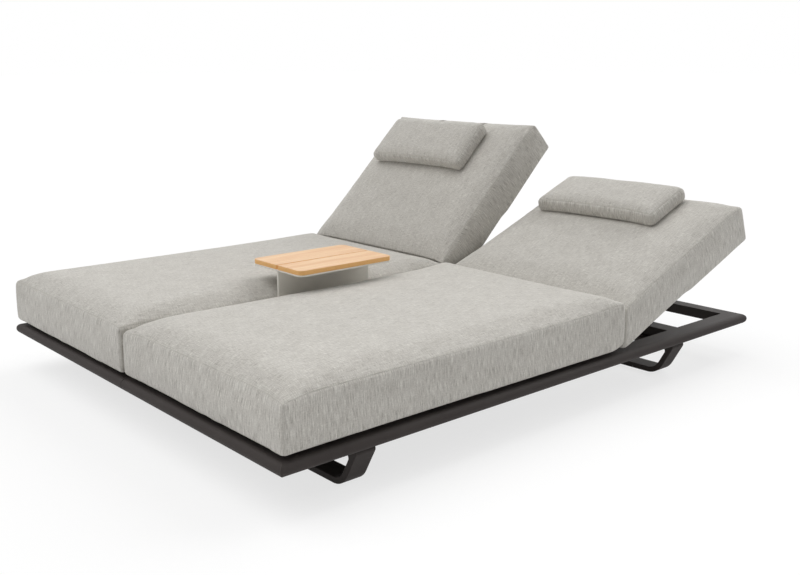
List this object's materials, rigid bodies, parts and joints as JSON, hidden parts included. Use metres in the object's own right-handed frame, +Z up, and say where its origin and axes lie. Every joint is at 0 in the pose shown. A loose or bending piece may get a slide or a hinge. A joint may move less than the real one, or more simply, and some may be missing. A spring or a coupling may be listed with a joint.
{
  "type": "double chaise lounger",
  "caption": "Double chaise lounger: two low aluminium loungers side by side with thick woven cushions, reclining backs, head pillows and a small sliding wood-topped table.",
  "frame": {"origin": "on the floor under the centre of the frame", "axes": "+Z up, +Y towards the head ends, +X to the right lounger"},
  "size_m": [1.6, 2.01, 0.81],
  "materials": {
    "frame_metal": "matt powder coat",
    "fabric": "woven melange",
    "strap": "flat elastic",
    "wood": "oiled",
    "pale_metal": "matt powder coat",
    "steel": "brushed",
    "glide": "moulded"
  },
  "bodies": {
    "frame": {"right_foot_rail": "frame_metal", "right_head_rail": "frame_metal", "right_outer_rail": "frame_metal", "right_inner_rail": "frame_metal", "right_rear_bar": "frame_metal", "right_hinge_bar": "frame_metal", "right_front_leg": "frame_metal", "right_rear_leg": "frame_metal", "right_seat_slats": "frame_metal", "right_hinge_brackets": "frame_metal", "right_prop_racks": "frame_metal", "right_hinge_pins": "steel", "right_glides": "glide", "right_seat_cushion": "fabric", "left_foot_rail": "frame_metal", "left_head_rail": "frame_metal", "left_outer_rail": "frame_metal", "left_inner_rail": "frame_metal", "left_rear_bar": "frame_metal", "left_hinge_bar": "frame_metal", "left_front_leg": "frame_metal", "left_rear_leg": "frame_metal", "left_seat_slats": "frame_metal", "left_hinge_brackets": "frame_metal", "left_prop_racks": "frame_metal", "left_hinge_pins": "steel", "left_glides": "glide", "left_seat_cushion": "fabric", "link_plates": "frame_metal", "link_screws": "steel"},
    "right_back": {"right_back_side_bars": "frame_metal", "right_back_cross_bars": "frame_metal", "right_back_strips": "frame_metal", "right_prop_pins": "steel", "right_back_cushion": "fabric", "right_pillow_straps": "strap"},
    "left_back": {"left_back_side_bars": "frame_metal", "left_back_cross_bars": "frame_metal", "left_back_strips": "frame_metal", "left_prop_pins": "steel", "left_back_cushion": "fabric", "left_pillow_straps": "strap"},
    "right_prop": {"right_prop": "frame_metal"},
    "left_prop": {"left_prop": "frame_metal"},
    "right_pillow": {"right_pillow": "fabric"},
    "left_pillow": {"left_pillow": "fabric"},
    "table": {"table_slat_right": "wood", "table_slat_left": "wood", "table_tray": "pale_metal", "table_blade": "pale_metal", "table_foot": "pale_metal", "table_screws": "steel"}
  },
  "joints": [
    {"name": "right_back_hinge", "type": "hinge", "parent": "frame", "child": "right_back", "pos_m": [0.399, 0.302, 0.157], "axis": [1, 0, 0], "range_deg": [-21.6, 43.4], "deforming": ["right_back_cushion"]},
    {"name": "left_back_hinge", "type": "hinge", "parent": "frame", "child": "left_back", "pos_m": [-0.399, 0.302, 0.157], "axis": [1, 0, 0], "range_deg": [-44.5, 20.5], "deforming": ["left_back_cushion"]},
    {"name": "right_prop_pivot", "type": "hinge", "parent": "right_back", "child": "right_prop", "pos_m": [0.399, 0.43755, 0.20852], "axis": [1, 0, 0], "range_deg": [-86.8, 43.2]},
    {"name": "left_prop_pivot", "type": "hinge", "parent": "left_back", "child": "left_prop", "pos_m": [-0.399, 0.40682, 0.25721], "axis": [1, 0, 0], "range_deg": [-41, 89]},
    {"name": "right_pillow_slide", "type": "slide", "parent": "right_back", "child": "right_pillow", "axis": [0, 0.9298, 0.3681], "range_m": [-0.12, 0.01]},
    {"name": "left_pillow_slide", "type": "slide", "parent": "left_back", "child": "left_pillow", "axis": [0, 0.7133, 0.7009], "range_m": [-0.12, 0.01]},
    {"name": "table_slide", "type": "slide", "parent": "frame", "child": "table", "axis": [0, 1, 0], "range_m": [-0.4, 0.2]}
  ],
  "couplings": [
    {"joint": "right_prop_pivot", "follows": "right_back_hinge", "ratio": -2},
    {"joint": "left_prop_pivot", "follows": "left_back_hinge", "ratio": -2}
  ]
}
